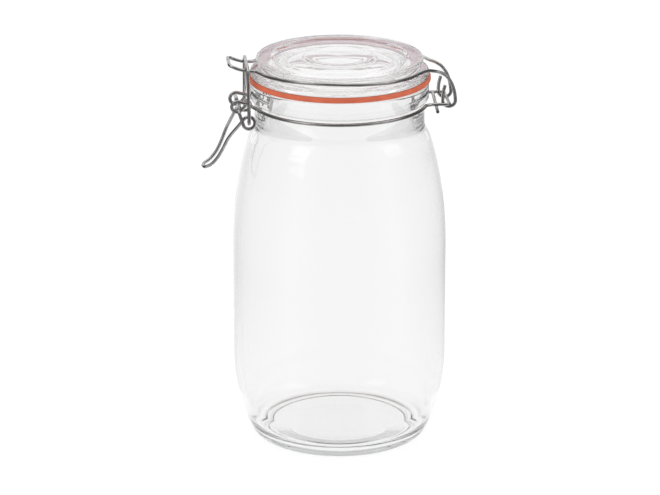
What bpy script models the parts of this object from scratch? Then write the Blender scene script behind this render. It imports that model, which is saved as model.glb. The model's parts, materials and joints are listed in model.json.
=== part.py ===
"""A clip top glass jar: an empty jar of about 1.5 litres, a glass lid on a rubber ring, and a wire clasp.

Metres, +Z up. The origin is on the jar's axis, on the surface that it stands on.
The clasp is at -X and the lid's hinge at +X. Everything is modelled closed and clamped.
Sizes are named in millimetres and turned into metres where a mesh is made.
"""

import math

import bmesh
import bpy
from mathutils import Matrix, Vector

MM = 0.001

# Clearance between pieces that touch in the real jar
GAP = 0.3

# Turned pieces
SIDES = 48

# Steel wire
WIRE_R = 0.9

# Jar, outside
FOOT_FLAT_R = 25.0
FOOT_GROOVE_IN_R = 35.5
FOOT_GROOVE_OUT_R = 37.4
FOOT_GROOVE_DEPTH = 1.2
FOOT_RING_IN_R = 38.2
FOOT_RING_OUT_R = 43.0
HEEL_CORNER_R = 3.4
HEEL_ARC_R = 100.0
HEEL_TOP_Z = 45.0
BODY_R = 57.2
SHOULDER_Z = 100.0
SHOULDER_END_Z = 165.0
SHOULDER_DROP_60 = 7.0
SHOULDER_POWER = 2.3
NECK_R = 45.1
NECK_LOW_Z = 175.0
LIP_LOW_Z = 187.1
LIP_R = 47.3
LIP_CORNER_R = 1.2
RIM_Z = 196.9

# Jar, inside
WALL = 3.3
FLOOR_Z = 3.2
FLOOR_DOME = 1.0
FLOOR_CORNER_R = 13.0
INNER_SHOULDER_Z = 162.0
MOUTH_R = 37.6
MOUTH_LOW_Z = 177.0

# Rubber ring
RING_IN_R = 38.2
RING_OUT_R = 48.2
RING_T = 2.3
RING_ROUND = 0.7

# Lid
SEAT_Z = RIM_Z + RING_T + 2 * GAP
LID_TOP_Z = 209.9
DISC_R = 44.2
DISC_ROUND = 1.3
DISC_LOW_Z = 207.4
WAIST_R = 42.4
FLANGE_R = 47.2
FLANGE_TOP_Z = 203.0
FLANGE_CORNER_Z = 202.2
RECESS_IN_R = 18.4
RECESS_OUT_R = 34.8
RECESS_DEPTH = 1.5
PLUG_R = 34.2
PLUG_LOW_Z = 194.9
PLUG_HOLLOW_R = 29.4
PLUG_HOLLOW_Z = 204.3

# Wire round the lid, with its tongue at the clasp and its hooks at the hinge
LID_WIRE_R = 44.6
LID_WIRE_Z = 206.0
LID_WIRE_LOW_Z = 204.4
LID_WIRE_BOW = 1.4
TONGUE_HALF_W = 9.5
TONGUE_END_X = -58.7
TONGUE_END_Z = 208.0
HOOK_HALF_W = 9.2
HOOK_R = 3.4

# Wire round the neck, with two eyes at the clasp and the hinge bar at the back
NECK_WIRE_R = 46.5
NECK_WIRE_Z = 185.0
BAR_HALF_W = 12.2
EYE_R = 3.1
EYE_Y = 8.0

# Joint axes, all parallel to Y
HINGE_X, HINGE_Z = 57.2, 185.0
PIVOT_X, PIVOT_Z = -54.5, 185.3
BAIL_X, BAIL_Z = -49.2, 178.9

# Lever and bail
COIL_R = 3.1
LINK_Y = 18.0
TAIL_Y = 15.7
PIN_IN_Y = 5.6
BAIL_HALF_W = 20.3
BAIL_TOP_HALF_W = 13.0
BAIL_PIN_IN_Y = 14.2
BAIL_TOP_X, BAIL_TOP_Z = -49.4, 207.4


def clear_scene():
    """Removes every object that the file opened with."""
    for old in list(bpy.data.objects):
        bpy.data.objects.remove(old, do_unlink=True)


def material(name, colour, roughness, metallic=0.0, transmission=0.0, ior=1.5):
    """A Principled material."""
    made = bpy.data.materials.new(name)
    made.use_nodes = True
    shader = made.node_tree.nodes["Principled BSDF"]
    shader.inputs["Base Color"].default_value = (*colour, 1.0)
    shader.inputs["Roughness"].default_value = roughness
    shader.inputs["Metallic"].default_value = metallic
    shader.inputs["Transmission Weight"].default_value = transmission
    shader.inputs["IOR"].default_value = ior
    made.diffuse_color = (*colour, 1.0)
    return made


def joint_empty(name, x, z):
    """An empty on a joint's axis, which runs along Y."""
    empty = bpy.data.objects.new(name, None)
    empty.location = (x * MM, 0.0, z * MM)
    empty.empty_display_size = 0.02
    bpy.context.scene.collection.objects.link(empty)
    return empty


def add_object(name, data, finish, parent=None):
    """Links data, made in jar coordinates, as an object whose origin is its parent's."""
    made = bpy.data.objects.new(name, data)
    data.materials.append(finish)
    bpy.context.scene.collection.objects.link(made)
    if parent is not None:
        data.transform(Matrix.Translation(-parent.location))
        made.parent = parent
    return made


def arc(centre, radius, start, end, steps):
    """Points (across, up) on an arc, in degrees, with both ends."""
    points = []
    for i in range(steps + 1):
        angle = math.radians(start + (end - start) * i / steps)
        points.append((centre[0] + radius * math.cos(angle), centre[1] + radius * math.sin(angle)))
    return points


def cubic(p0, p1, p2, p3, steps):
    """Points on a Bezier curve between p0 and p3, without p0."""
    points = []
    for i in range(1, steps + 1):
        t = i / steps
        weights = ((1 - t) ** 3, 3 * t * (1 - t) ** 2, 3 * t * t * (1 - t), t**3)
        across = sum(w * p[0] for w, p in zip(weights, (p0, p1, p2, p3)))
        up = sum(w * p[1] for w, p in zip(weights, (p0, p1, p2, p3)))
        points.append((across, up))
    return points


def turned(name, profile, finish, closed=False, parent=None):
    """A solid of revolution about the jar's axis, from (radius, z) points in millimetres."""
    mesh = bpy.data.meshes.new(name)
    form = bmesh.new()
    verts = [form.verts.new((r * MM, 0.0, z * MM)) for r, z in profile]
    edges = [form.edges.new(pair) for pair in zip(verts, verts[1:])]
    if closed:
        edges.append(form.edges.new((verts[-1], verts[0])))
    bmesh.ops.spin(
        form, geom=verts + edges, cent=(0, 0, 0), axis=(0, 0, 1), angle=math.tau, steps=SIDES, use_merge=True
    )
    bmesh.ops.remove_doubles(form, verts=form.verts, dist=1e-6)
    bmesh.ops.recalc_face_normals(form, faces=form.faces)
    form.to_mesh(mesh)
    form.free()
    mesh.shade_smooth()
    mesh.set_sharp_from_angle(angle=math.radians(35))
    return add_object(name, mesh, finish, parent)


def shoulder_radius(z):
    """The body's outer radius from SHOULDER_Z up to SHOULDER_END_Z."""
    return BODY_R - SHOULDER_DROP_60 * ((z - SHOULDER_Z) / 60.0) ** SHOULDER_POWER


def heel_radius(z):
    """The body's outer radius below HEEL_TOP_Z, on one wide arc."""
    return BODY_R - HEEL_ARC_R + math.sqrt(HEEL_ARC_R**2 - (HEEL_TOP_Z - z) ** 2)


def jar_outside():
    """The outer profile, from the axis underneath to the rim."""
    corner_z = 2.2
    profile = [(0.0, 0.0), (FOOT_FLAT_R, 0.0)]
    profile += [(FOOT_GROOVE_IN_R, FOOT_GROOVE_DEPTH), (FOOT_GROOVE_OUT_R, FOOT_GROOVE_DEPTH)]
    profile += [(FOOT_RING_IN_R, 0.0), (FOOT_RING_OUT_R, 0.0)]
    corner = (heel_radius(corner_z), corner_z)
    profile += cubic(profile[-1], (FOOT_RING_OUT_R + 2.4, 0.0), (corner[0] - 0.8, corner_z - 1.5), corner, 3)
    profile += [(heel_radius(z), z) for z in (6.0, 11.0, 18.0, 26.0, 35.0, HEEL_TOP_Z)]
    profile += [(BODY_R, 72.0), (BODY_R, SHOULDER_Z)]
    profile += [(shoulder_radius(z), z) for z in (113.0, 126.0, 138.0, 148.0, 157.0, SHOULDER_END_Z)]
    start = profile[-1]
    profile += cubic(start, (start[0] - 1.2, 169.0), (NECK_R, 170.5), (NECK_R, NECK_LOW_Z), 4)
    profile += [(NECK_R, LIP_LOW_Z - 0.3), (LIP_R - LIP_CORNER_R, LIP_LOW_Z)]
    profile += [(LIP_R, LIP_LOW_Z + LIP_CORNER_R), (LIP_R, RIM_Z - LIP_CORNER_R)]
    profile += arc((LIP_R - LIP_CORNER_R, RIM_Z - LIP_CORNER_R), LIP_CORNER_R, 45, 90, 1)
    return profile


def jar_inside():
    """The inner profile, from the rim down to the floor on the axis."""
    inner_r = BODY_R - WALL
    profile = arc((MOUTH_R + LIP_CORNER_R, RIM_Z - LIP_CORNER_R), LIP_CORNER_R, 90, 180, 2)
    profile += [(MOUTH_R, MOUTH_LOW_Z)]
    low = (shoulder_radius(INNER_SHOULDER_Z) - WALL - 1.0, INNER_SHOULDER_Z)
    profile += cubic(profile[-1], (MOUTH_R, 172.0), (low[0] - 3.0, 168.5), low, 4)
    profile += [(shoulder_radius(z) - WALL - extra, z) for z, extra in ((153.0, 0.5), (143.0, 0.2), (130.0, 0.0))]
    profile += [(shoulder_radius(115.0) - WALL, 115.0), (inner_r, SHOULDER_Z), (inner_r, HEEL_TOP_Z)]
    profile += [(heel_radius(z) - WALL, z) for z in (35.0, 27.0, 20.0)]
    turn = (heel_radius(20.0) - WALL, 20.0)
    floor_r = turn[0] - FLOOR_CORNER_R
    profile += cubic(turn, (turn[0] - 1.6, 10.0), (turn[0] - 5.0, FLOOR_Z), (floor_r, FLOOR_Z), 4)
    profile += [(floor_r * 0.5, FLOOR_Z + FLOOR_DOME * 0.75), (0.0, FLOOR_Z + FLOOR_DOME)]
    return profile


def make_jar(glass):
    """The empty jar: one open, hollow body of glass."""
    return turned("jar_body", jar_outside() + jar_inside(), glass)


def make_rubber_ring(rubber):
    """The flat rubber ring, with a rounded edge that stands a little proud of the glass."""
    low, high = RIM_Z + GAP, RIM_Z + GAP + RING_T
    profile = [(RING_IN_R, low), (RING_OUT_R - RING_ROUND, low), (RING_OUT_R, low + RING_ROUND)]
    profile += [(RING_OUT_R, high - RING_ROUND), (RING_OUT_R - RING_ROUND, high), (RING_IN_R, high)]
    return turned("rubber_ring", profile, rubber, closed=True)


def lid_profile():
    """The lid, from the middle of its top to the middle of its underside."""
    recess_z = LID_TOP_Z - RECESS_DEPTH
    profile = [(0.0, LID_TOP_Z), (RECESS_IN_R, LID_TOP_Z), (RECESS_IN_R + 1.4, recess_z)]
    profile += [(RECESS_OUT_R, recess_z), (RECESS_OUT_R + 1.6, LID_TOP_Z)]
    profile += arc((DISC_R - DISC_ROUND, LID_TOP_Z - DISC_ROUND), DISC_ROUND, 90, 0, 3)
    profile += [(DISC_R, DISC_LOW_Z + 0.5), (DISC_R - 0.4, DISC_LOW_Z), (WAIST_R, DISC_LOW_Z - 0.4)]
    profile += [(WAIST_R, FLANGE_TOP_Z + 1.0), (WAIST_R + 1.0, FLANGE_TOP_Z + 0.1)]
    profile += [(FLANGE_R - 0.9, FLANGE_TOP_Z), (FLANGE_R, FLANGE_CORNER_Z)]
    profile += [(FLANGE_R, SEAT_Z + 0.6), (FLANGE_R - 0.6, SEAT_Z)]
    profile += [(PLUG_R + 1.2, SEAT_Z), (PLUG_R, SEAT_Z - 1.2)]
    profile += [(PLUG_R - 0.4, PLUG_LOW_Z + 1.2), (PLUG_R - 1.6, PLUG_LOW_Z)]
    profile += [(PLUG_HOLLOW_R + 2.0, PLUG_LOW_Z), (PLUG_HOLLOW_R + 0.8, PLUG_LOW_Z + 1.2)]
    profile += [(PLUG_HOLLOW_R - 0.7, PLUG_HOLLOW_Z - 1.2), (PLUG_HOLLOW_R - 2.0, PLUG_HOLLOW_Z)]
    profile += [(0.0, PLUG_HOLLOW_Z + 0.3)]
    return profile


def make_lid(glass, hinge):
    """The pressed glass lid, with a flange over the rubber ring and a plug in the mouth."""
    return turned("lid_glass", lid_profile(), glass, parent=hinge)


def rounded(points, radii, steps=3):
    """A route through points whose corners are bent to the radii given, one for each inner point."""
    route = [points[0]]
    for i in range(1, len(points) - 1):
        corner = points[i]
        radius = radii[i - 1]
        back = (points[i - 1] - corner).normalized()
        ahead = (points[i + 1] - corner).normalized()
        half = back.angle(ahead) / 2
        if radius == 0 or half > math.radians(86):
            route.append(corner)
            continue
        length = radius / math.tan(half)
        centre = corner + (back + ahead).normalized() * radius / math.sin(half)
        first = corner + back * length - centre
        last = corner + ahead * length - centre
        sweep = first.angle(last)
        for k in range(steps + 1):
            t = k / steps
            blend = (first * math.sin((1 - t) * sweep) + last * math.sin(t * sweep)) / math.sin(sweep)
            route.append(centre + blend)
    route.append(points[-1])
    return route


def smooth(points, steps):
    """A Catmull-Rom route through points, which keeps both ends."""
    padded = [points[0] * 2 - points[1]] + points + [points[-1] * 2 - points[-2]]
    route = [points[0]]
    for a, b, c, d in zip(padded, padded[1:], padded[2:], padded[3:]):
        for k in range(1, steps + 1):
            t = k / steps
            route.append(
                0.5 * (2 * b + (c - a) * t + (2 * a - 5 * b + 4 * c - d) * t**2 + (3 * b - a - 3 * c + d) * t**3)
            )
    return route


def round_axis(radius, z, start, end, steps):
    """Points on a level circle round the jar's axis, in degrees from +X."""
    return [Vector((across, along, z)) for across, along in arc((0.0, 0.0), radius, start, end, steps)]


def turn_about_y(x, z, radius, start, end, y_start, y_end, steps):
    """Points that turn about a line along Y, in degrees from +X towards +Z, while Y moves evenly."""
    points = []
    for i, (across, up) in enumerate(arc((x, z), radius, start, end, steps)):
        points.append(Vector((across, y_start + (y_end - y_start) * i / steps, up)))
    return points


def both_sides(near):
    """The whole route of a wire whose near half ends at the plane Y = 0."""
    far = [Vector((p.x, -p.y, p.z)) for p in reversed(near)]
    return near + (far[1:] if near[-1].y == 0 else far)


def wire(name, route, finish, parent=None):
    """A bent wire along the route in millimetres, as a curve with filled ends."""
    data = bpy.data.curves.new(name, "CURVE")
    data.dimensions = "3D"
    data.bevel_depth = WIRE_R * MM
    data.bevel_resolution = 2
    data.use_fill_caps = True
    spline = data.splines.new("POLY")
    spline.points.add(len(route) - 1)
    for point, place in zip(spline.points, route):
        point.co = (*(place * MM), 1.0)
    spline.use_smooth = True
    return add_object(name, data, finish, parent)


def round_lid(start, end, steps):
    """Points round the lid, in degrees from +X, on a circle that bows up halfway along each side."""
    points = []
    for across, along in arc((0.0, 0.0), LID_WIRE_R, start, end, steps):
        fall = LID_WIRE_BOW * (across / 38.0) ** 2 + 0.5 * math.sin(math.pi * across / 50.0)
        points.append(Vector((across, along, max(LID_WIRE_Z - fall, LID_WIRE_LOW_Z))))
    return points


def lid_wire_route():
    """Near half: the hook's tip, round the hinge bar, up the arm, round the lid and along the tongue."""
    y = -HOOK_HALF_W
    hook_z = HINGE_Z + HOOK_R - 2 * WIRE_R - GAP
    tip = [Vector((55.0, y, 194.6)), Vector((54.0, y, 190.4))]
    hook = turn_about_y(HINGE_X, hook_z, HOOK_R, 180, 360, y, y, 7)
    arm = [Vector((60.5, y, 187.4)), Vector((59.9, y - 0.1, 191.2)), Vector((58.3, y - 0.3, 195.8))]
    arm += [Vector((55.7, y - 0.7, 199.6)), Vector((52.4, y - 1.2, 201.9)), Vector((48.9, y - 2.6, 203.1))]
    arm += [Vector((44.6, y - 6.2, 204.4))]
    ring = round_lid(-30, -158, 22)
    joined = smooth(tip + hook[:1], 1)[:-1] + hook + smooth([hook[-1]] + arm + ring[:2], 2)[1:-1]
    leave = Vector((-44.9, -TONGUE_HALF_W - 0.6, 204.9))
    tongue = [ring[-1], leave, Vector((-50.0, -TONGUE_HALF_W, 205.0)), Vector((-54.3, -TONGUE_HALF_W, 206.2))]
    tongue += [Vector((TONGUE_END_X, -TONGUE_HALF_W, TONGUE_END_Z)), Vector((TONGUE_END_X, 0.0, TONGUE_END_Z))]
    return both_sides(joined + ring[2:-1] + rounded(tongue, [3.0, 6.0, 12.0, 3.2])[0:])


def neck_wire_route():
    """Near half: the eye that holds the lever, round the neck and out to the hinge bar."""
    cross = Vector((-49.0, -EYE_Y - 1.3, 187.0))
    eye = turn_about_y(PIVOT_X, PIVOT_Z, EYE_R, 324, 64, -EYE_Y + 1.1, -EYE_Y - 1.1, 12)
    end = Vector((-49.8, -EYE_Y + 1.3, 186.4))
    ring = round_axis(NECK_WIRE_R, NECK_WIRE_Z, -163, -17.5, 26)
    lead = rounded([eye[-1], cross, Vector((-46.4, -EYE_Y - 1.9, 185.2)), ring[0], ring[1]], [1.5, 2.0, 2.0])
    leg = [ring[-2], ring[-1], Vector((47.4, -BAR_HALF_W, 185.0)), Vector((HINGE_X, -BAR_HALF_W, HINGE_Z))]
    leg += [Vector((HINGE_X, 0.0, HINGE_Z))]
    back = rounded(leg, [2.0, 2.5, 1.7])
    return both_sides([end] + eye[:-1] + lead[:-1] + ring[1:-2] + back)


def lever_route():
    """Near half: the pin in the eye, the link down to the coil, the coil and the tail to its tip."""
    link_top = Vector((PIVOT_X, -LINK_Y, PIVOT_Z))
    coil = turn_about_y(BAIL_X, BAIL_Z, COIL_R, -158, 146, -LINK_Y, -TAIL_Y, 14)
    head = rounded([Vector((PIVOT_X, -PIN_IN_Y, PIVOT_Z)), link_top, coil[0]], [1.5])
    tail = [coil[-1], Vector((-54.8, -14.2, 176.4)), Vector((-59.4, -9.6, 169.2)), Vector((-62.5, -7.3, 162.4))]
    tail += [Vector((-65.3, -6.0, 157.2)), Vector((-68.7, -5.2, 153.3)), Vector((-71.8, -3.7, 151.6))]
    tail += [Vector((-72.8, 0.0, 151.3))]
    return both_sides(head[:-1] + coil[:-1] + smooth(tail, 3))


def bail_route():
    """Near half: the pin in the coil, the leg and the bar that lies over the tongue."""
    low = Vector((BAIL_X, -BAIL_HALF_W, BAIL_Z))
    high = Vector((BAIL_TOP_X, -BAIL_TOP_HALF_W, BAIL_TOP_Z))
    pin_end = Vector((BAIL_X, -BAIL_PIN_IN_Y, BAIL_Z))
    return both_sides(rounded([pin_end, low, high, Vector((BAIL_TOP_X, 0.0, BAIL_TOP_Z))], [1.6, 3.2], 4))


def build():
    """Makes the jar closed and clamped."""
    clear_scene()
    glass = material("clear_glass", (0.95, 0.96, 0.96), 0.02, transmission=1.0, ior=1.52)
    lid_glass = material("clear_lid_glass", (0.95, 0.95, 0.96), 0.02, transmission=1.0, ior=1.52)
    rubber = material("orange_rubber", (0.80, 0.16, 0.06), 0.45)
    steel = material("bright_steel_wire", (0.62, 0.62, 0.63), 0.22, metallic=1.0)
    neck_steel = material("neck_steel_wire", (0.60, 0.60, 0.61), 0.24, metallic=1.0)
    lever_steel = material("lever_steel_wire", (0.62, 0.62, 0.63), 0.22, metallic=1.0)
    bail_steel = material("bail_steel_wire", (0.62, 0.62, 0.63), 0.22, metallic=1.0)
    hinge = joint_empty("hinge_axis", HINGE_X, HINGE_Z)
    pivot = joint_empty("lever_axis", PIVOT_X, PIVOT_Z)
    bail_axis = joint_empty("bail_axis", BAIL_X, BAIL_Z)
    make_jar(glass)
    make_rubber_ring(rubber)
    make_lid(lid_glass, hinge)
    wire("lid_wire", lid_wire_route(), steel, hinge)
    wire("neck_wire", neck_wire_route(), neck_steel)
    wire("lever", lever_route(), lever_steel, pivot)
    wire("bail", bail_route(), bail_steel, bail_axis)


build()
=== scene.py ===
"""Dresses the clip top jar: clear pressed glass, an orange rubber ring and bright wire, in a white studio.

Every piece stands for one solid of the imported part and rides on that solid's body.
Sizes are in millimetres in the classes and are turned into metres where a mesh is drawn.
"""

import json
import logging
import math
from dataclasses import dataclass, field
from enum import Enum

import bpy
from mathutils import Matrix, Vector

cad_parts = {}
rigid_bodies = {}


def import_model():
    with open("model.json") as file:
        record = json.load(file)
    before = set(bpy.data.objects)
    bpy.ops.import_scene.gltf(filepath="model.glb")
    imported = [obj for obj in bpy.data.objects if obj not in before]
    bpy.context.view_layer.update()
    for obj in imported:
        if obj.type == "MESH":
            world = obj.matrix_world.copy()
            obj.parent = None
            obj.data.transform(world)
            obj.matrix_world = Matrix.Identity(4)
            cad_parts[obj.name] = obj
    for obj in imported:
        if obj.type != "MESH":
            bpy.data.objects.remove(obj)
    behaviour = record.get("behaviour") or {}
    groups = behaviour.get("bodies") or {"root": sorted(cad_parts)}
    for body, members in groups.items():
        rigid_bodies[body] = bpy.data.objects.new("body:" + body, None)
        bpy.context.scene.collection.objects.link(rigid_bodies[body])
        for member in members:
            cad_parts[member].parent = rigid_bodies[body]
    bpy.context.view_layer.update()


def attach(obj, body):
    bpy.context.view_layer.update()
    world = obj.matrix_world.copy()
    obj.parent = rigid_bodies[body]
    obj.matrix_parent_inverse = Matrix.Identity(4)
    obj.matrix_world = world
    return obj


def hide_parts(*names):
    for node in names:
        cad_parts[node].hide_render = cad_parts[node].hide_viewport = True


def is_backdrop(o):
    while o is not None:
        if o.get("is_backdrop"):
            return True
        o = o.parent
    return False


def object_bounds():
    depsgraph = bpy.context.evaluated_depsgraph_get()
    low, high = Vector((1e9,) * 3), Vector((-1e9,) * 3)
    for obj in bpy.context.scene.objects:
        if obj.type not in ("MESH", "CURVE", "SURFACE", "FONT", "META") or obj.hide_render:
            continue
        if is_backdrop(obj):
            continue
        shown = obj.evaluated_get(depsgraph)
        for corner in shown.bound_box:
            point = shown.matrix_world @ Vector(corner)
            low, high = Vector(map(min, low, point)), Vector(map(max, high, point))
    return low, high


MM = 0.001
TURN_WELD = 2e-6
WIRE_WELD = 1e-6
STRAIGHT = math.radians(88)
SHARP = math.radians(40)
TINY = 1e-6
GLASS_IOR = 1.52
PATTERN = (0.3, 0.7)
LOG = logging.getLogger("clip_top_jar")

Colour = tuple[float, float, float]
Point = tuple[float, float, float]


class Body(Enum):
    """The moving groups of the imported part."""

    JAR = "jar"
    LID = "lid"
    LEVER = "clasp_lever"
    BAIL = "clasp_bail"


class Shading(Enum):
    """How a finished piece's faces are smoothed."""

    SMOOTH = "smooth"
    BY_ANGLE = "by_angle"


# --- Finishes


def new_material(name: str) -> tuple[bpy.types.Material, bpy.types.Node]:
    """Adds a node material.

    Args:
        name: The finish's name.

    Returns:
        The material and its Principled shader node.
    """
    made = bpy.data.materials.new(name)
    made.use_nodes = True
    return made, made.node_tree.nodes["Principled BSDF"]


def object_place(tree: bpy.types.NodeTree) -> bpy.types.NodeSocket:
    """Adds the position on the piece, in metres, which stays fixed to the piece.

    Args:
        tree: The material's nodes.

    Returns:
        The position's output.
    """
    return tree.nodes.new("ShaderNodeTexCoord").outputs["Object"]


def object_noise(
    tree: bpy.types.NodeTree, scale: float, detail: float, stretch: Point = (1.0, 1.0, 1.0)
) -> bpy.types.NodeSocket:
    """Adds a noise pattern that stays fixed to the piece.

    Args:
        tree: The material's nodes.
        scale: The pattern's scale, in lumps a metre.
        detail: How many finer layers are added.
        stretch: The pattern's scale along each axis.

    Returns:
        The pattern's output.
    """
    mapping = tree.nodes.new("ShaderNodeMapping")
    mapping.inputs["Scale"].default_value = stretch
    noise = tree.nodes.new("ShaderNodeTexNoise")
    noise.inputs["Scale"].default_value = scale
    noise.inputs["Detail"].default_value = detail
    tree.links.new(object_place(tree), mapping.inputs["Vector"])
    tree.links.new(mapping.outputs["Vector"], noise.inputs["Vector"])
    return noise.outputs["Fac"]


def spread(
    tree: bpy.types.NodeTree,
    source: bpy.types.NodeSocket,
    reach: tuple[float, float],
    values: tuple[float, float] = (0.0, 1.0),
) -> bpy.types.NodeSocket:
    """Spreads a stretch of an output over two values.

    Args:
        tree: The material's nodes.
        source: The output.
        reach: Where the stretch starts and ends.
        values: The values at its two ends.

    Returns:
        The spread output.
    """
    ramp = tree.nodes.new("ShaderNodeMapRange")
    for name, value in zip(("From Min", "From Max", "To Min", "To Max"), reach + values):
        ramp.inputs[name].default_value = value
    tree.links.new(source, ramp.inputs["Value"])
    return ramp.outputs["Result"]


def calculate(
    tree: bpy.types.NodeTree, operation: str, *values: bpy.types.NodeSocket | float
) -> bpy.types.NodeSocket:
    """Adds a sum of outputs and plain numbers.

    Args:
        tree: The material's nodes.
        operation: The sum's kind.
        values: Its terms, in order.

    Returns:
        The result.
    """
    node = tree.nodes.new("ShaderNodeMath")
    node.operation = operation
    for socket, value in zip(node.inputs, values):
        if isinstance(value, bpy.types.NodeSocket):
            tree.links.new(value, socket)
        else:
            socket.default_value = value
    return node.outputs["Value"]


def axis_distance(tree: bpy.types.NodeTree, place: bpy.types.NodeSocket) -> bpy.types.NodeSocket:
    """Adds a position's distance from the jar's axis.

    Args:
        tree: The material's nodes.
        place: The position.

    Returns:
        The distance, in metres.
    """
    level = tree.nodes.new("ShaderNodeVectorMath")
    level.operation = "MULTIPLY"
    level.inputs[1].default_value = (1.0, 1.0, 0.0)
    length = tree.nodes.new("ShaderNodeVectorMath")
    length.operation = "LENGTH"
    tree.links.new(place, level.inputs[0])
    tree.links.new(level.outputs["Vector"], length.inputs[0])
    return length.outputs["Value"]


def mix_colours(
    tree: bpy.types.NodeTree,
    share: bpy.types.NodeSocket,
    first: Colour,
    second: Colour | bpy.types.NodeSocket,
) -> bpy.types.NodeSocket:
    """Mixes two colours.

    Args:
        tree: The material's nodes.
        share: The second colour's share, from 0 to 1.
        first: The first colour.
        second: The second colour, or the output that gives it.

    Returns:
        The mixed colour.
    """
    mix = tree.nodes.new("ShaderNodeMix")
    mix.data_type = "RGBA"
    mix.inputs["A"].default_value = (*first, 1.0)
    if isinstance(second, bpy.types.NodeSocket):
        tree.links.new(second, mix.inputs["B"])
    else:
        mix.inputs["B"].default_value = (*second, 1.0)
    tree.links.new(share, mix.inputs["Factor"])
    return mix.outputs["Result"]


def add_bump(
    tree: bpy.types.NodeTree,
    shader: bpy.types.Node,
    height: bpy.types.NodeSocket,
    strength: float,
    distance: float,
) -> None:
    """Raises a shader's surface by a pattern.

    Args:
        tree: The material's nodes.
        shader: The Principled shader.
        height: The pattern's output.
        strength: The bump's strength, from 0 to 1.
        distance: The bump's height in metres.
    """
    bump = tree.nodes.new("ShaderNodeBump")
    bump.inputs["Strength"].default_value = strength
    bump.inputs["Distance"].default_value = distance
    tree.links.new(height, bump.inputs["Height"])
    tree.links.new(bump.outputs["Normal"], shader.inputs["Normal"])


@dataclass(frozen=True)
class PressedGlass:
    """Clear soda glass with the faint waves that a mould leaves.

    Attributes:
        name: The finish's name.
        tint: The colour that a surface lets through.
        depth_tint: The colour that deep glass takes on.
        density: How strongly it does so, per metre.
        wave_mm: The height of the waves.
    """

    name: str
    tint: Colour = (0.972, 0.972, 0.972)
    depth_tint: Colour = (0.70, 0.71, 0.705)
    density: float = 15.0
    wave_mm: float = 0.05

    def make(self) -> bpy.types.Material:
        """Makes the glass material."""
        made, shader = new_material(self.name)
        shader.inputs["Base Color"].default_value = (*self.tint, 1.0)
        shader.inputs["Roughness"].default_value = 0.0
        shader.inputs["Transmission Weight"].default_value = 1.0
        shader.inputs["IOR"].default_value = GLASS_IOR
        depth = made.node_tree.nodes.new("ShaderNodeVolumeAbsorption")
        depth.inputs["Color"].default_value = (*self.depth_tint, 1.0)
        depth.inputs["Density"].default_value = self.density
        output = made.node_tree.nodes["Material Output"]
        made.node_tree.links.new(depth.outputs["Volume"], output.inputs["Volume"])
        waves = object_noise(made.node_tree, 46.0, 1.5, (1.0, 1.0, 0.35))
        add_bump(made.node_tree, shader, waves, 0.35, self.wave_mm * MM)
        return made


@dataclass(frozen=True)
class SealRubber:
    """Soft orange-red rubber with a dull moulded skin, and a painted sheen: the faces under the lid glass
    are painted pale pink.

    Attributes:
        name: The finish's name.
        light: The colour of its paler patches.
        dark: The colour of its deeper patches.
        glass_sheen: The painted sheen, a pale pink painted on the faces under the lid glass and round its
            plug for the light that the glass lays over them.
        sheen_r: The radius inside which the sheen is painted, in metres.
        sheen_z: The height above which it is painted, in metres.
        inner_r: The radius inside which it is painted at any height, in metres.
        soft_r: Half the width over which the top's painted sheen ends, in metres.
        soft_z: Half the width over which the other painted sheen ends, in metres.
    """

    name: str
    light: Colour = (0.70, 0.150, 0.070)
    dark: Colour = (0.58, 0.120, 0.055)
    glass_sheen: Colour = (0.88, 0.60, 0.70)
    sheen_r: float = 0.0464
    sheen_z: float = 0.1993
    inner_r: float = 0.0386
    soft_r: float = 0.0004
    soft_z: float = 0.0002

    def make(self) -> bpy.types.Material:
        """Makes the rubber material."""
        made, shader = new_material(self.name)
        tree = made.node_tree
        mottle = object_noise(tree, 180.0, 3.0)
        rubber = mix_colours(tree, spread(tree, mottle, PATTERN), self.dark, self.light)
        place = object_place(tree)
        parts = tree.nodes.new("ShaderNodeSeparateXYZ")
        tree.links.new(place, parts.inputs["Vector"])
        radius = axis_distance(tree, place)
        # Painted sheen: the top under the lid's flange and the inner side round the plug are painted pale
        # pink in place of the orange rubber, for the light that the lid glass lays over them.
        outside = spread(tree, radius, (self.sheen_r - self.soft_r, self.sheen_r + self.soft_r))
        below = spread(tree, parts.outputs["Z"], (self.sheen_z + self.soft_z, self.sheen_z - self.soft_z))
        away = spread(tree, radius, (self.inner_r - self.soft_z, self.inner_r + self.soft_z))
        unsheened = calculate(tree, "MAXIMUM", outside, calculate(tree, "MULTIPLY", below, away))
        tree.links.new(mix_colours(tree, unsheened, self.glass_sheen, rubber), shader.inputs["Base Color"])
        tree.links.new(spread(tree, mottle, PATTERN, (0.42, 0.58)), shader.inputs["Roughness"])
        shader.inputs["Specular IOR Level"].default_value = 0.4
        add_bump(tree, shader, object_noise(tree, 2600.0, 2.0), 0.3, 0.00006)
        return made


@dataclass(frozen=True)
class BrightWire:
    """Bright drawn steel wire with fine draw marks and a few duller patches.

    Attributes:
        name: The finish's name.
        bright: The colour of the clean metal.
        dull: The colour of its duller patches.
    """

    name: str
    bright: Colour = (0.55, 0.54, 0.54)
    dull: Colour = (0.40, 0.39, 0.39)

    def make(self) -> bpy.types.Material:
        """Makes the wire material."""
        made, shader = new_material(self.name)
        tree = made.node_tree
        patches = object_noise(tree, 320.0, 3.0)
        steel = mix_colours(tree, spread(tree, patches, PATTERN), self.dull, self.bright)
        tree.links.new(steel, shader.inputs["Base Color"])
        tree.links.new(spread(tree, patches, PATTERN, (0.27, 0.15)), shader.inputs["Roughness"])
        shader.inputs["Metallic"].default_value = 1.0
        add_bump(tree, shader, object_noise(tree, 2200.0, 2.0), 0.25, 0.00003)
        return made


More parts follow.
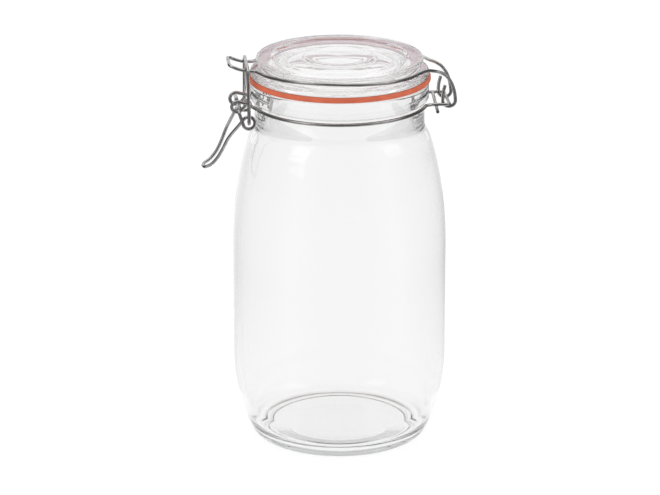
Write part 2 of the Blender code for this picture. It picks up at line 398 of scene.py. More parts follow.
@dataclass(frozen=True)
class StudioWhite:
    """The plain white floor, which is lit until it hardly shows a shadow.

    Attributes:
        name: The finish's name.
        colour: The paint's grey.
        glow: The light that it gives off by itself.
    """

    name: str = "studio_white"
    colour: float = 0.12
    glow: float = 0.92

    def make(self) -> bpy.types.Material:
        """Makes the floor material."""
        made, shader = new_material(self.name)
        shader.inputs["Base Color"].default_value = (*[self.colour] * 3, 1.0)
        shader.inputs["Roughness"].default_value = 0.9
        shader.inputs["Specular IOR Level"].default_value = 0.0
        shader.inputs["Emission Color"].default_value = (1.0, 1.0, 1.0, 1.0)
        shader.inputs["Emission Strength"].default_value = self.glow
        return made


@dataclass(frozen=True)
class DarkCard:
    """Matt card round the jar, dark at both sides, which gives glass and wire their dark edges.

    Attributes:
        name: The finish's name.
        greys: Pairs of a share of the half turn from the front to the back, and the card's grey there.
        white: Its grey close to the jar.
        fade: The radii between which it turns from white to those greys, in metres.
    """

    name: str = "dark_card"
    greys: tuple[tuple[float, float], ...] = (
        (0.12, 0.10), (0.30, 0.60), (0.44, 0.12), (0.78, 0.12), (0.90, 0.90)
    )
    white: float = 0.95
    fade: tuple[float, float] = (0.08, 0.30)

    def make(self) -> bpy.types.Material:
        """Makes the card material."""
        made, shader = new_material(self.name)
        tree = made.node_tree
        place = object_place(tree)
        parts = tree.nodes.new("ShaderNodeSeparateXYZ")
        tree.links.new(place, parts.inputs["Vector"])
        sideways = calculate(tree, "ABSOLUTE", parts.outputs["X"])
        forward = calculate(tree, "MULTIPLY", parts.outputs["Y"], -1.0)
        turn = calculate(tree, "ARCTAN2", sideways, forward)
        ramp = tree.nodes.new("ShaderNodeValToRGB")
        stops = ramp.color_ramp.elements
        while len(stops) < len(self.greys):
            stops.new(0.5)
        for stop, (at, grey) in zip(stops, self.greys):
            stop.position = at
            stop.color = (grey, grey, grey, 1.0)
        tree.links.new(calculate(tree, "DIVIDE", turn, math.pi), ramp.inputs["Fac"])
        far = spread(tree, axis_distance(tree, place), self.fade)
        card = mix_colours(tree, far, (self.white, self.white, self.white), ramp.outputs["Color"])
        tree.links.new(card, shader.inputs["Base Color"])
        shader.inputs["Roughness"].default_value = 1.0
        shader.inputs["Specular IOR Level"].default_value = 0.0
        return made


# --- Lines


def angle_steps(start: float, end: float, steps: int) -> list[float]:
    """Even angles between two angles in degrees.

    Args:
        start: The first angle.
        end: The last angle.
        steps: The number of spans.

    Returns:
        The angles in radians, with both ends.
    """
    return [math.radians(start + (end - start) * i / steps) for i in range(steps + 1)]


def arc(
    centre: tuple[float, float], radius: float, start: float, end: float, steps: int, y: float
) -> list[Vector]:
    """Points on an arc in a plane across Y.

    Args:
        centre: The centre's X and Z.
        radius: The arc's radius.
        start: The first angle, in degrees from +X towards +Z.
        end: The last angle.
        steps: The number of spans.
        y: The plane's Y.

    Returns:
        The points, with both ends.
    """
    angles = angle_steps(start, end, steps)
    return [Vector((centre[0] + radius * math.cos(a), y, centre[1] + radius * math.sin(a))) for a in angles]


def level_arc(radius: float, z: float, start: float, end: float, steps: int) -> list[Vector]:
    """Points on a level circle round the jar's axis.

    Args:
        radius: The circle's radius.
        z: Its height.
        start: The first angle, in degrees from +X towards +Y.
        end: The last angle.
        steps: The number of spans.

    Returns:
        The points, with both ends.
    """
    angles = angle_steps(start, end, steps)
    return [Vector((radius * math.cos(a), radius * math.sin(a), z)) for a in angles]


def cubic(p0: Vector, p1: Vector, p2: Vector, p3: Vector, steps: int) -> list[Vector]:
    """Points on a Bezier curve.

    Args:
        p0: The curve's start.
        p1: The point that it heads for from there.
        p2: The point that it comes from at its end.
        p3: The curve's end.
        steps: The number of spans.

    Returns:
        The points, without p0.
    """
    made = []
    for i in range(1, steps + 1):
        t = i / steps
        made.append((1 - t) ** 3 * p0 + 3 * t * (1 - t) ** 2 * p1 + 3 * t * t * (1 - t) * p2 + t**3 * p3)
    return made


def rounded(points: list[Vector], radii: list[float], steps: int = 6) -> list[Vector]:
    """Bends a line's corners.

    Args:
        points: The line's corners and both ends.
        radii: The bend's radius at each inner point; 0 leaves the corner sharp.
        steps: The number of spans in each bend.

    Returns:
        The bent line.
    """
    made = [points[0]]
    for i, radius in enumerate(radii, 1):
        corner = points[i]
        back = (points[i - 1] - corner).normalized()
        ahead = (points[i + 1] - corner).normalized()
        half = back.angle(ahead) / 2
        if radius == 0 or half > STRAIGHT:
            made.append(corner)
            continue
        length = radius / math.tan(half)
        centre = corner + (back + ahead).normalized() * radius / math.sin(half)
        first = corner + back * length - centre
        last = corner + ahead * length - centre
        sweep = first.angle(last)
        for k in range(steps + 1):
            t = k / steps
            blend = (first * math.sin((1 - t) * sweep) + last * math.sin(t * sweep)) / math.sin(sweep)
            made.append(centre + blend)
    made.append(points[-1])
    return made


def smooth(points: list[Vector], steps: int) -> list[Vector]:
    """Draws one soft line through points.

    Args:
        points: The points that it passes.
        steps: The number of spans between two points.

    Returns:
        The line, with both ends.
    """
    padded = [points[0] * 2 - points[1]] + points + [points[-1] * 2 - points[-2]]
    made = [points[0]]
    for a, b, c, d in zip(padded, padded[1:], padded[2:], padded[3:]):
        for k in range(1, steps + 1):
            t = k / steps
            cubed = (3 * b - a - 3 * c + d) * t**3
            made.append(0.5 * (2 * b + (c - a) * t + (2 * a - 5 * b + 4 * c - d) * t**2 + cubed))
    return made


def even(points: list[Vector], pitch: float) -> list[Vector]:
    """Adds points to a line's long spans.

    Args:
        points: The line.
        pitch: The longest span that is left.

    Returns:
        The line with the added points.
    """
    made = [points[0]]
    for a, b in zip(points, points[1:]):
        cuts = max(1, math.ceil((b - a).length / pitch))
        made += [a.lerp(b, k / cuts) for k in range(1, cuts + 1)]
    return made


def section(points: list[tuple[float, float]] | tuple[tuple[float, float], ...]) -> list[Vector]:
    """Puts radii and heights on the plane Y = 0.

    Args:
        points: Pairs of a radius and a height.

    Returns:
        The points.
    """
    return [Vector((r, 0, z)) for r, z in points]


def both_sides(near: list[Vector]) -> list[Vector]:
    """Mirrors the near half of a wire across the plane Y = 0.

    Args:
        near: The near half, which ends on that plane or just before it.

    Returns:
        The whole line.
    """
    far = [Vector((p.x, -p.y, p.z)) for p in reversed(near)]
    return near + (far[1:] if abs(near[-1].y) < TINY else far)


# --- Modelling


def let_go() -> None:
    """Leaves edit mode and deselects every object."""
    if bpy.context.mode != "OBJECT":
        bpy.ops.object.mode_set(mode="OBJECT")
    bpy.ops.object.select_all(action="DESELECT")


def pick(objects: list[bpy.types.Object]) -> None:
    """Selects only the given objects and makes the first one active.

    Args:
        objects: The objects.
    """
    let_go()
    for item in objects:
        item.select_set(True)
    bpy.context.view_layer.objects.active = objects[0]


def weld(threshold: float) -> None:
    """Joins the edited mesh's doubled points, turns its faces outwards and leaves edit mode.

    Args:
        threshold: The distance below which points are one, in metres.
    """
    bpy.ops.mesh.select_all(action="SELECT")
    bpy.ops.mesh.remove_doubles(threshold=threshold)
    bpy.ops.mesh.normals_make_consistent(inside=False)
    bpy.ops.object.mode_set(mode="OBJECT")


def draw_line(name: str, points: list[Vector]) -> bpy.types.Object:
    """Draws a chain of edges: a small plane is merged to one point, which is extruded from point to point.

    Args:
        name: The object's name.
        points: The chain's points, in millimetres.

    Returns:
        The object, still in edit mode with its last point selected.
    """
    let_go()
    bpy.ops.mesh.primitive_plane_add(size=MM, location=(0.0, 0.0, 0.0))
    made = bpy.context.object
    made.name = name
    made.data.name = name
    bpy.ops.object.mode_set(mode="EDIT")
    bpy.ops.mesh.merge(type="CENTER")
    bpy.ops.transform.translate(value=points[0] * MM)
    for before, after in zip(points, points[1:]):
        bpy.ops.mesh.extrude_vertices_move(TRANSFORM_OT_translate={"value": (after - before) * MM})
    return made


def turn_solid(name: str, profile: list[Vector], sides: int, closed: bool = False) -> bpy.types.Object:
    """Spins a profile round the jar's axis into one closed solid.

    Args:
        name: The object's name.
        profile: The profile's points in the plane Y = 0, in millimetres.
        sides: The number of steps in the full turn.
        closed: Whether the profile's last point joins its first.

    Returns:
        The finished object.
    """
    made = draw_line(name, profile + [profile[0]] if closed else profile)
    bpy.ops.mesh.select_all(action="SELECT")
    bpy.ops.mesh.spin(steps=sides, angle=math.tau, center=(0.0, 0.0, 0.0), axis=(0.0, 0.0, 1.0))
    weld(TURN_WELD)
    return made


def bend_wire(name: str, route: list[Vector], radius: float) -> bpy.types.Object:
    """Bends a round wire along a route.

    Args:
        name: The object's name.
        route: The wire's centre line, in millimetres.
        radius: The wire's radius, in millimetres.

    Returns:
        The finished object.
    """
    made = draw_line(name, route)
    pick([made])
    bpy.ops.object.convert(target="CURVE")
    made.data.bevel_depth = radius * MM
    made.data.bevel_resolution = 6
    made.data.use_fill_caps = True
    bpy.ops.object.convert(target="MESH")
    bpy.ops.object.mode_set(mode="EDIT")
    weld(WIRE_WELD)
    return made


def finish_piece(
    piece: bpy.types.Object,
    material: bpy.types.Material,
    body: Body,
    node: str,
    shading: Shading,
) -> bpy.types.Object:
    """Smooths a piece, gives it its finish and hangs it on its body.

    Args:
        piece: The piece, in place.
        material: Its finish.
        body: The group that it moves with.
        node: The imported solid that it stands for.
        shading: How its faces are smoothed.

    Returns:
        The piece.
    """
    pick([piece])
    if shading is Shading.SMOOTH:
        bpy.ops.object.shade_smooth()
    else:
        bpy.ops.object.shade_smooth_by_angle(angle=SHARP)
    piece.data.materials.clear()
    piece.data.materials.append(material)
    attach(piece, body.value)
    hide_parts(node)
    piece.select_set(False)
    LOG.info("%s: %d faces, on %s", piece.name, len(piece.data.polygons), body.value)
    return piece


# --- Sub-assemblies


@dataclass
class Vessel:
    """The jar: a hollow body of pressed glass with a narrow neck and a thick lip.

    Attributes:
        sides: The number of steps round it.
        body_r: Its largest radius.
        heel_arc_r: The radius of the curve from there down to the foot.
        heel_top_z: Where that curve starts.
        shoulder_z: Where the body starts to narrow upwards.
        shoulder_end_z: Where the narrowing turns into the neck.
        neck_r: The neck's radius.
        neck_low_z: The neck's lower end.
        lip_r: The lip's radius.
        lip_low_z: The lip's lower side.
        rim_z: The jar's rim.
        wall: The glass's thickness.
        floor_z: The height of the inside at the floor's edge.
        mouth_r: The mouth's radius.
        mouth_low_z: Where the mouth's straight side ends.
        foot: The underside's section, as pairs of a radius and a height.
        finish: Its finish.
    """

    sides: int = 192
    body_r: float = 57.2
    heel_arc_r: float = 100.0
    heel_top_z: float = 45.0
    shoulder_z: float = 100.0
    shoulder_end_z: float = 165.0
    neck_r: float = 45.1
    neck_low_z: float = 175.0
    lip_r: float = 47.3
    lip_low_z: float = 187.1
    rim_z: float = 196.9
    wall: float = 3.3
    floor_z: float = 3.2
    mouth_r: float = 37.6
    mouth_low_z: float = 183.0
    foot: tuple[tuple[float, float], ...] = (
        (0.0, 0.0), (25.0, 0.0), (35.5, 1.2), (37.4, 1.2), (38.2, 0.0), (43.0, 0.0)
    )
    finish: PressedGlass = PressedGlass("clear_glass")

    def shoulder_radius(self, z: float) -> float:
        """Gives the body's outer radius above shoulder_z.

        Args:
            z: The height.

        Returns:
            The radius.
        """
        return self.body_r - 7.0 * (max(z - self.shoulder_z, 0.0) / 60.0) ** 2.3

    def heel_radius(self, z: float) -> float:
        """Gives the body's outer radius below heel_top_z.

        Args:
            z: The height.

        Returns:
            The radius.
        """
        rise = self.heel_top_z - z
        return self.body_r - self.heel_arc_r + math.sqrt(self.heel_arc_r**2 - rise**2)

    def outside(self) -> list[Vector]:
        """The outer profile, from the axis underneath to the rim."""
        made = rounded(section(self.foot), [6.0, 0.5, 0.4, 0.4])
        corner = Vector((self.heel_radius(2.2), 0, 2.2))
        made += cubic(made[-1], Vector((45.4, 0, 0.0)), Vector((corner.x - 0.8, 0, 0.7)), corner, 8)
        heel = (3.5, 5, 7, 9, 12, 15, 18, 22, 26, 30, 35, 40, 45)
        made += section([(self.heel_radius(z), z) for z in heel])
        made += section([(self.body_r, z) for z in (58, 72, 86, 100)])
        made += section([(self.shoulder_radius(z), z) for z in range(105, 165, 4)])
        start = Vector((self.shoulder_radius(self.shoulder_end_z), 0, self.shoulder_end_z))
        neck, neck_low = section([(self.neck_r, 170.5), (self.neck_r, self.neck_low_z)])
        made += [start] + cubic(start, Vector((start.x - 1.2, 0, 169.0)), neck, neck_low, 10)
        lip = [(self.neck_r, self.neck_low_z), (self.neck_r, self.lip_low_z - 0.3)]
        lip += [(self.lip_r, self.lip_low_z + 0.3), (self.lip_r, self.rim_z)]
        lip += [(self.mouth_r, self.rim_z), (self.mouth_r, self.mouth_low_z)]
        return made + rounded(section(lip), [0.5, 1.0, 2.4, 1.8], 10)[1:]

    def inside(self) -> list[Vector]:
        """The inner profile, from below the mouth to the floor on the axis."""
        mouth = Vector((self.mouth_r, 0, self.mouth_low_z))
        low = Vector((self.shoulder_radius(166.0) - self.wall - 1.0, 0, 166.0))
        made = cubic(mouth, Vector((self.mouth_r, 0, 177.5)), Vector((low.x - 3.2, 0, 173.0)), low, 16)
        for z in (*range(162, 152, -3), *range(149, 104, -4)):
            thicker = max(0.0, (z - 138.0) / 24.0) ** 1.5
            made.append(Vector((self.shoulder_radius(z) - self.wall - thicker, 0, z)))
        made += section([(self.body_r - self.wall, z) for z in (100, 86, 72, 58)])
        made += section([(self.heel_radius(z) - self.wall, z) for z in (45, 41, 37, 33, 29, 26, 23, 20)])
        turn = made[-1]
        flat = Vector((turn.x - 13.0, 0, self.floor_z))
        bend = section([(turn.x - 1.6, 8.6), (turn.x - 4.0, self.floor_z)])
        made += cubic(turn, *bend, flat, 20)
        middle = Vector((flat.x * 0.5, 0, self.floor_z + 0.75))
        return made + smooth([flat, middle, Vector((0, 0, self.floor_z + 1.0))], 6)[1:]

    def build(self) -> bpy.types.Object:
        """Builds the glass jar."""
        piece = turn_solid("glass_jar", self.outside() + self.inside(), self.sides)
        return finish_piece(piece, self.finish.make(), Body.JAR, "jar_body", Shading.SMOOTH)


@dataclass
class LidGlass:
    """The pressed glass lid: a stepped disc, a wire groove, a flange and a hollow plug.

    Attributes:
        sides: The number of steps round it.
        seat_z: The flange's underside.
        top_z: The lid's top.
        disc_r: The disc's radius.
        waist_r: The groove's radius.
        flange_r: The flange's radius.
        plug_r: The plug's radius under the flange.
        plug_low_z: The plug's lower edge.
        finish: Its finish.
    """

    sides: int = 192
    seat_z: float = 199.8
    top_z: float = 209.9
    disc_r: float = 44.2
    waist_r: float = 42.4
    flange_r: float = 47.2
    plug_r: float = 34.2
    plug_low_z: float = 194.9
    finish: PressedGlass = PressedGlass(
        "clear_lid_glass", tint=(0.996, 0.993, 0.994), density=4.0, wave_mm=0.02
    )

    def profile(self) -> list[Vector]:
        """The lid's profile, from the middle of its top to the middle of its underside."""
        recess = self.top_z - 1.5
        points = [(0.0, self.top_z), (18.4, self.top_z), (19.8, recess), (34.8, recess), (36.4, self.top_z)]
        radii = [0.9, 0.9, 0.9, 0.9]
        points += [(self.disc_r, self.top_z), (self.disc_r, 207.4), (self.waist_r, 207.0)]
        radii += [1.4, 0.35, 0.3]
        points += [(self.waist_r, 203.2), (46.0, 203.0), (self.flange_r, 202.4)]
        radii += [1.1, 0.9, 0.9]
        points += [(self.flange_r, self.seat_z), (self.plug_r + 0.9, self.seat_z)]
        points += [(self.plug_r, self.seat_z - 1.2)]
        radii += [0.6, 0.6, 0.5]
        points += [(33.8, self.plug_low_z), (30.6, self.plug_low_z), (28.6, 204.2), (0.0, 204.6)]
        radii += [1.5, 1.2, 1.6]
        return even(rounded(section(points), radii), 4.0)

    def build(self) -> bpy.types.Object:
        """Builds the glass lid."""
        piece = turn_solid("glass_lid", self.profile(), self.sides)
        glass = self.finish.make()
        return finish_piece(piece, glass, Body.LID, "lid_glass", Shading.SMOOTH)


@dataclass
class SealRing:
    """The flat rubber ring round the lid's plug.

    Attributes:
        sides: The number of steps round it.
        low_z: Its underside.
        thickness: Its height.
        inner_r: Its inner radius.
        outer_r: Its outer radius.
        edge_r: The rounding of its outer edges.
        finish: Its finish.
    """

    sides: int = 192
    low_z: float = 196.91
    thickness: float = 2.88
    inner_r: float = 38.2
    outer_r: float = 48.2
    edge_r: float = 0.95
    finish: SealRubber = SealRubber("orange_rubber")

    def profile(self) -> list[Vector]:
        """The ring's section, with its two outer edges rounded."""
        high = self.low_z + self.thickness
        corners = [(self.inner_r, self.low_z), (self.outer_r, self.low_z)]
        corners += [(self.outer_r, high), (self.inner_r, high)]
        return rounded(section(corners), [self.edge_r, self.edge_r], 8)

    def build(self) -> bpy.types.Object:
        """Builds the rubber ring."""
        piece = turn_solid("seal_ring", self.profile(), self.sides, closed=True)
        rubber = self.finish.make()
        return finish_piece(piece, rubber, Body.LID, "rubber_ring", Shading.BY_ANGLE)


@dataclass
class Wire:
    """One bent wire; each kind gives its own route.

    Attributes:
        name: The piece's name.
        node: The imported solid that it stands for.
        body: The group that it moves with.
        finish: The wire's finish, named as the record's slot.
        radius: The wire's radius.
        pitch: The longest span of its centre line.
    """

    name: str
    node: str
    body: Body
    finish: BrightWire
    radius: float = 0.9
    pitch: float = 1.2

    def near_half(self) -> list[Vector]:
        """The near half of the wire's centre line."""
        raise NotImplementedError

    def bend(self) -> bpy.types.Object:
        """Bends the wire along its whole line."""
        return bend_wire(self.name, even(both_sides(self.near_half()), self.pitch), self.radius)

    def finished(self, piece: bpy.types.Object) -> bpy.types.Object:
        """Finishes the bent wire.

        Args:
            piece: The wire.

        Returns:
            The same wire, finished.
        """
        return finish_piece(piece, self.finish.make(), self.body, self.node, Shading.BY_ANGLE)

    def build(self) -> bpy.types.Object:
        """Builds the wire."""
        return self.finished(self.bend())


@dataclass
class LidWire(Wire):
    """The wire round the lid, with a tongue at the clasp and a hook at each end.

    Attributes:
        ring_r: The ring's radius.
        ring_z: Its height halfway along each side.
        ring_low_z: The lowest height that its bow reaches.
        bow: How far it falls away from there.
        twist: How much more it falls towards the hinge than towards the clasp.
        bow_reach: The distance along X at which it has fallen by the bow.
        twist_reach: Twice the distance along X at which the twist is largest.
        hook_y: The plane of the near hook.
        hook_r: The hook's radius, round the hinge bar.
        hook_gap: The air between the hook and the bar.
        tip: The hook's end, as pairs of X and Z.
        arm: The arm's points from the hook up to the ring, with Y counted from the hook's plane.
        tongue: The tongue's points, with Y counted from tongue_y.
        tongue_y: The plane of its near side.
        hinge: The hinge bar's X and Z.
    """

    name: str = "lid_ring_wire"
    node: str = "lid_wire"
    body: Body = Body.LID
    finish: BrightWire = BrightWire("bright_steel_wire")
    ring_r: float = 44.6
    ring_z: float = 206.0
    ring_low_z: float = 204.4
    bow: float = 1.4
    twist: float = 0.5
    bow_reach: float = 38.0
    twist_reach: float = 50.0
    hook_y: float = -9.2
    hook_r: float = 3.4
    hook_gap: float = 0.3
    tip: tuple[tuple[float, float], ...] = ((55.0, 194.6), (54.0, 190.4))
    arm: tuple[Point, ...] = (
        (60.5, 0.0, 187.4), (59.9, -0.1, 191.2), (58.3, -0.3, 195.8), (55.7, -0.7, 199.6),
        (52.4, -1.2, 201.9), (48.9, -2.6, 203.1), (44.6, -6.2, 204.4),
    )
    tongue: tuple[Point, ...] = (
        (-44.9, -0.6, 204.9), (-50.0, 0.0, 205.0), (-54.3, 0.0, 206.2), (-58.7, 0.0, 208.0)
    )
    tongue_y: float = -9.5
    hinge: tuple[float, float] = (57.2, 185.0)

    def bowed(self, point: Vector) -> Vector:
        """Lowers a point of the level ring, least halfway along each side of the lid.

        Args:
            point: The point.

        Returns:
            The lowered point.
        """
        fall = self.bow * (point.x / self.bow_reach) ** 2
        fall += self.twist * math.sin(math.pi * point.x / self.twist_reach)
        return Vector((point.x, point.y, max(point.z - fall, self.ring_low_z)))

    def near_half(self) -> list[Vector]:
        """From the hook's tip, up the arm, round the lid and along the tongue."""
        y = self.hook_y
        hook_z = self.hinge[1] + self.hook_r - 2 * self.radius - self.hook_gap
        tip = [Vector((x, y, z)) for x, z in self.tip]
        hook = arc((self.hinge[0], hook_z), self.hook_r, 180, 360, 18, y)
        arm = [Vector((x, y + off, z)) for x, off, z in self.arm]
        ring = [self.bowed(point) for point in level_arc(self.ring_r, self.ring_z, -30, -158, 64)]
        start = smooth(tip + hook[:1], 5)[:-1]
        rise = smooth([hook[-1]] + arm + ring[:2], 7)[1:-1]
        tongue = [ring[-1]] + [Vector((x, self.tongue_y + off, z)) for x, off, z in self.tongue]
        tongue += [Vector((tongue[-1].x, 0.0, tongue[-1].z))]
        return start + hook + rise + ring[2:-1] + rounded(tongue, [3.0, 6.0, 12.0, 3.2], 10)


@dataclass
class NeckWire(Wire):
    """The wire round the neck, with an eye at each end and the hinge bar at the back.

    Attributes:
        ring_r: The ring's radius.
        ring_z: Its height.
        eye_y: The middle plane of the near eye.
        eye_r: The eye's radius.
        bar_y: Where the hinge's near leg ends and its bar starts.
        pivot: The lever's pins, as X and Z.
        hinge: The hinge bar's X and Z.
        eye_steps: The number of spans in the eye.
        eye_lean: How far the eye's ends stand to each side of its plane.
        loose_end: The two ends of the straight piece at the hinge.
    """

    name: str = "neck_ring_wire"
    node: str = "neck_wire"
    body: Body = Body.JAR
    finish: BrightWire = BrightWire("neck_steel_wire", (0.52, 0.51, 0.51), (0.38, 0.37, 0.37))
    ring_r: float = 46.5
    ring_z: float = 185.0
    eye_y: float = -8.0
    eye_r: float = 3.1
    bar_y: float = -12.2
    pivot: tuple[float, float] = (-54.5, 185.3)
    hinge: tuple[float, float] = (57.2, 185.0)
    eye_steps: int = 30
    eye_lean: float = 1.1
    loose_end: tuple[Point, Point] = ((51.0, 11.6, 185.2), (50.4, -16.0, 182.0))

    def near_half(self) -> list[Vector]:
        """From the eye that holds the lever, round the neck and out to the hinge bar."""
        y = self.eye_y
        eye = arc(self.pivot, self.eye_r, 324, 64, self.eye_steps, y)
        for i, point in enumerate(eye):
            point.y = y + self.eye_lean - 2 * self.eye_lean * i / self.eye_steps
        cross = Vector((-49.0, y - 1.3, 187.0))
        end = Vector((-49.8, y + 1.3, 186.4))
        ring = level_arc(self.ring_r, self.ring_z, -163, -17.5, 72)
        lead = [eye[-1], cross, Vector((-46.4, y - 1.9, 185.2)), ring[0], ring[1]]
        at, level = self.hinge
        leg = [ring[-2], ring[-1], Vector((47.4, self.bar_y, 185.0))]
        leg += [Vector((at, self.bar_y, level)), Vector((at, 0.0, level))]
        front = [end] + eye[:-1] + rounded(lead, [1.5, 2.0, 2.0], 8)[:-1]
        return front + ring[2:-2] + rounded(leg, [2.0, 2.5, 1.7], 8)

    def build(self) -> bpy.types.Object:
        """Builds the wire, with the straight end that crosses under the hinge's legs."""
        ring = self.bend()
        crossing = [Vector(point) for point in self.loose_end]
        loose = bend_wire("neck_wire_end", even(crossing, self.pitch), self.radius)
        pick([ring, loose])
        bpy.ops.object.join()
        return self.finished(ring)


@dataclass
class Lever(Wire):
    """The clasp's lever: pins in the eyes, two coils for the bail, and a long finger loop.

    Attributes:
        pivot: The pins' X and Z.
        coil: The coils' X and Z.
        coil_r: The coils' radius.
        coil_steps: The number of spans in a coil.
        pin_y: The near pin's inner end.
        link_y: The plane of the link from the pin to the coil.
        tail_y: The plane in which the coil ends.
        tail: The near strand's points, from the coil to the loop's tip.
    """

    name: str = "clasp_lever_wire"
    node: str = "lever"
    body: Body = Body.LEVER
    finish: BrightWire = BrightWire("lever_steel_wire")
    pivot: tuple[float, float] = (-54.5, 185.3)
    coil: tuple[float, float] = (-49.2, 178.9)
    coil_r: float = 3.1
    coil_steps: int = 36
    pin_y: float = -5.6
    link_y: float = -18.0
    tail_y: float = -15.7
    tail: tuple[Point, ...] = (
        (-54.8, -14.2, 176.4), (-59.4, -9.6, 169.2), (-62.5, -7.3, 162.4), (-65.3, -6.0, 157.2),
        (-68.7, -5.2, 153.3), (-71.8, -3.7, 151.6), (-72.8, 0.0, 151.3),
    )

    def near_half(self) -> list[Vector]:
        """From the pin in the eye, down to the coil, round it and out to the loop's tip."""
        coil = arc(self.coil, self.coil_r, -158, 146, self.coil_steps, self.link_y)
        for i, point in enumerate(coil):
            point.y = self.link_y + (self.tail_y - self.link_y) * i / self.coil_steps
        pin = Vector((self.pivot[0], self.pin_y, self.pivot[1]))
        top = Vector((self.pivot[0], self.link_y, self.pivot[1]))
        head = rounded([pin, top, coil[0]], [1.5], 8)
        tail = [coil[-1]] + [Vector(point) for point in self.tail]
        return head[:-1] + coil[:-1] + smooth(tail, 9)


@dataclass
class Bail(Wire):
    """The square loop that pulls the lid's tongue down.

    Attributes:
        coil: The X and Z of the lever's coils, which hold its pins.
        pin_y: The near pin's inner end.
        half_w: Half the loop's width at its pins.
        top_half_w: Half its width at the bar.
        top: The bar's X and Z.
    """

    name: str = "clasp_bail_wire"
    node: str = "bail"
    body: Body = Body.BAIL
    finish: BrightWire = BrightWire("bail_steel_wire")
    coil: tuple[float, float] = (-49.2, 178.9)
    pin_y: float = -14.2
    half_w: float = 20.3
    top_half_w: float = 13.0
    top: tuple[float, float] = (-49.4, 207.4)

    def near_half(self) -> list[Vector]:
        """From the pin in the coil, up the leg and to the middle of the bar."""
        low = [Vector((self.coil[0], y, self.coil[1])) for y in (self.pin_y, -self.half_w)]
        high = [Vector((self.top[0], y, self.top[1])) for y in (-self.top_half_w, 0.0)]
        return rounded(low + high, [1.6, 3.2], 10)


# --- Studio


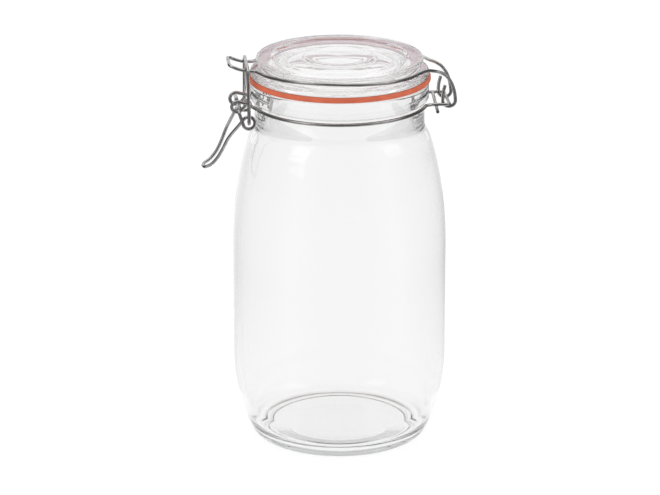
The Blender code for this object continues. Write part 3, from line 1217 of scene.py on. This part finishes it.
@dataclass
class Studio:
    """A white floor, soft lights from all round, dark cards for the metal, and the camera.

    Attributes:
        turn: How far the camera has gone round the jar, in degrees.
        distance: The camera's level distance from the jar's axis, in metres.
        height: The camera's height, in metres.
        pitch: How far it looks down, in degrees.
        aside: How far it stands to the left, in metres.
        lens: Its focal length, in millimetres.
        room_r: The dark wall's radius, in metres.
        card_top: The dark wall's height, in metres.
        card_back: How far back its ends reach, in metres.
        card_gap: The radius at which the dark floor starts, in metres.
        bounces: How many surfaces light may meet on its way.
        sides: The number of sides of the floor, the wall and the cards.
        floor_r: The floor's radius, in metres.
        floor_drop: How far the floor lies under the jar, in metres.
        room_light: The strength of the even light from all round.
        aim_z: The height that the soft lights face, in metres.
    """

    turn: float = 5.3
    distance: float = 1.494
    height: float = 0.612
    pitch: float = 18.82
    aside: float = 0.00504
    lens: float = 159.9
    room_r: float = 2.6
    card_top: float = 2.6
    card_back: float = 2.0
    card_gap: float = 0.08
    bounces: int = 28
    sides: int = 96
    floor_r: float = 6.0
    floor_drop: float = 0.0002
    room_light: float = 0.9
    aim_z: float = 0.1
    floor_finish: StudioWhite = StudioWhite()
    card_finish: DarkCard = DarkCard()
    lights: list[bpy.types.Object] = field(default_factory=list)

    def add_floor(self) -> None:
        """Adds the round white floor just under the jar."""
        let_go()
        bpy.ops.mesh.primitive_circle_add(
            vertices=self.sides, radius=self.floor_r, fill_type="NGON", location=(0.0, 0.0, -self.floor_drop)
        )
        floor = bpy.context.object
        floor.name = "studio_floor"
        floor.data.materials.append(self.floor_finish.make())
        floor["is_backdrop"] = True

    def add_dark_side(self) -> None:
        """Adds a dark curved wall and the floor before it, which only reflections show."""
        let_go()
        bpy.ops.mesh.primitive_cylinder_add(
            vertices=self.sides,
            radius=self.room_r,
            depth=self.card_top,
            end_fill_type="NOTHING",
            location=(0, 0, self.card_top / 2),
        )
        wall = bpy.context.object
        wall.name = "dark_wall"
        bpy.ops.object.mode_set(mode="EDIT")
        bpy.ops.mesh.select_all(action="SELECT")
        bpy.ops.mesh.bisect(plane_co=(0, self.card_back, 0), plane_no=(0, 1, 0), clear_outer=True)
        bpy.ops.object.mode_set(mode="OBJECT")
        ends = section([(self.card_gap / MM, 1.0), (self.room_r / MM, 1.0)])
        ground = turn_solid("dark_ground", ends, self.sides)
        finish = self.card_finish.make()
        for card in (wall, ground):
            card.data.materials.append(finish)
            card.visible_camera = False
            card.visible_diffuse = False
            card.visible_transmission = False
            card.visible_shadow = False
            card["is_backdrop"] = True

    def add_soft_light(self, name: str, place: Point, size: tuple[float, float], power: float) -> None:
        """Adds a rectangular light that faces the jar.

        Args:
            name: The light's name.
            place: Its middle, in metres.
            size: Its width and height, in metres.
            power: Its power, in watts.
        """
        data = bpy.data.lights.new(name, "AREA")
        data.shape = "RECTANGLE"
        data.size, data.size_y = size
        data.energy = power
        light = bpy.data.objects.new(name, data)
        light.location = place
        aim = Vector((0.0, 0.0, self.aim_z)) - Vector(place)
        light.rotation_euler = aim.to_track_quat("-Z", "Y").to_euler()
        light.visible_camera = False
        bpy.context.scene.collection.objects.link(light)
        self.lights.append(light)

    def set_world(self) -> None:
        """Fills the room with even white light."""
        world = bpy.data.worlds.new("white_room")
        world.use_nodes = True
        back = world.node_tree.nodes["Background"]
        back.inputs["Color"].default_value = (1.0, 1.0, 1.0, 1.0)
        back.inputs["Strength"].default_value = self.room_light
        bpy.context.scene.world = world

    def let_light_through(self) -> None:
        """Lets light pass the many walls of glass that a line of sight crosses."""
        paths = bpy.context.scene.cycles
        paths.max_bounces = self.bounces
        paths.transmission_bounces = self.bounces
        paths.glossy_bounces = self.bounces

    def add_camera(self) -> None:
        """Adds the camera, which has a long lens and looks a little down on the jar."""
        turn = math.radians(self.turn)
        forward = Vector((math.sin(turn), math.cos(turn), 0.0))
        right = Vector((math.cos(turn), -math.sin(turn), 0.0))
        data = bpy.data.cameras.new("photo_camera")
        data.lens = self.lens
        data.sensor_width = 36.0
        data.sensor_fit = "HORIZONTAL"
        camera = bpy.data.objects.new("photo_camera", data)
        camera.location = -forward * self.distance - right * self.aside + Vector((0.0, 0.0, self.height))
        camera.rotation_euler = (math.radians(90.0 - self.pitch), 0.0, -turn)
        bpy.context.scene.collection.objects.link(camera)
        bpy.context.scene.camera = camera

    def build(self) -> None:
        """Sets up the whole studio."""
        self.add_floor()
        self.add_dark_side()
        self.add_soft_light("left_softbox", (-0.9, -0.5, 0.9), (0.5, 1.0), 1.5)
        self.add_soft_light("right_softbox", (0.9, -0.3, 0.9), (0.5, 1.0), 1.2)
        self.add_soft_light("top_softbox", (0.0, 0.3, 1.5), (1.2, 1.2), 2.0)
        self.set_world()
        self.add_camera()
        bpy.context.scene.view_settings.view_transform = "Standard"
        self.let_light_through()
        LOG.info("studio: floor, card, %d soft lights and camera", len(self.lights))


def corners() -> list[list[float]]:
    """The shown object's lowest and highest corner, as plain lists."""
    return [list(corner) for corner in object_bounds()]


def main() -> None:
    """Builds every piece in order."""
    logging.basicConfig(level=logging.INFO, format="%(name)s: %(message)s")
    for old in list(bpy.data.objects):
        bpy.data.objects.remove(old, do_unlink=True)
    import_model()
    for part in (Vessel(), SealRing(), LidGlass(), LidWire(), NeckWire(), Lever(), Bail()):
        part.build()
    Studio().build()


if __name__ == "__main__":
    main()
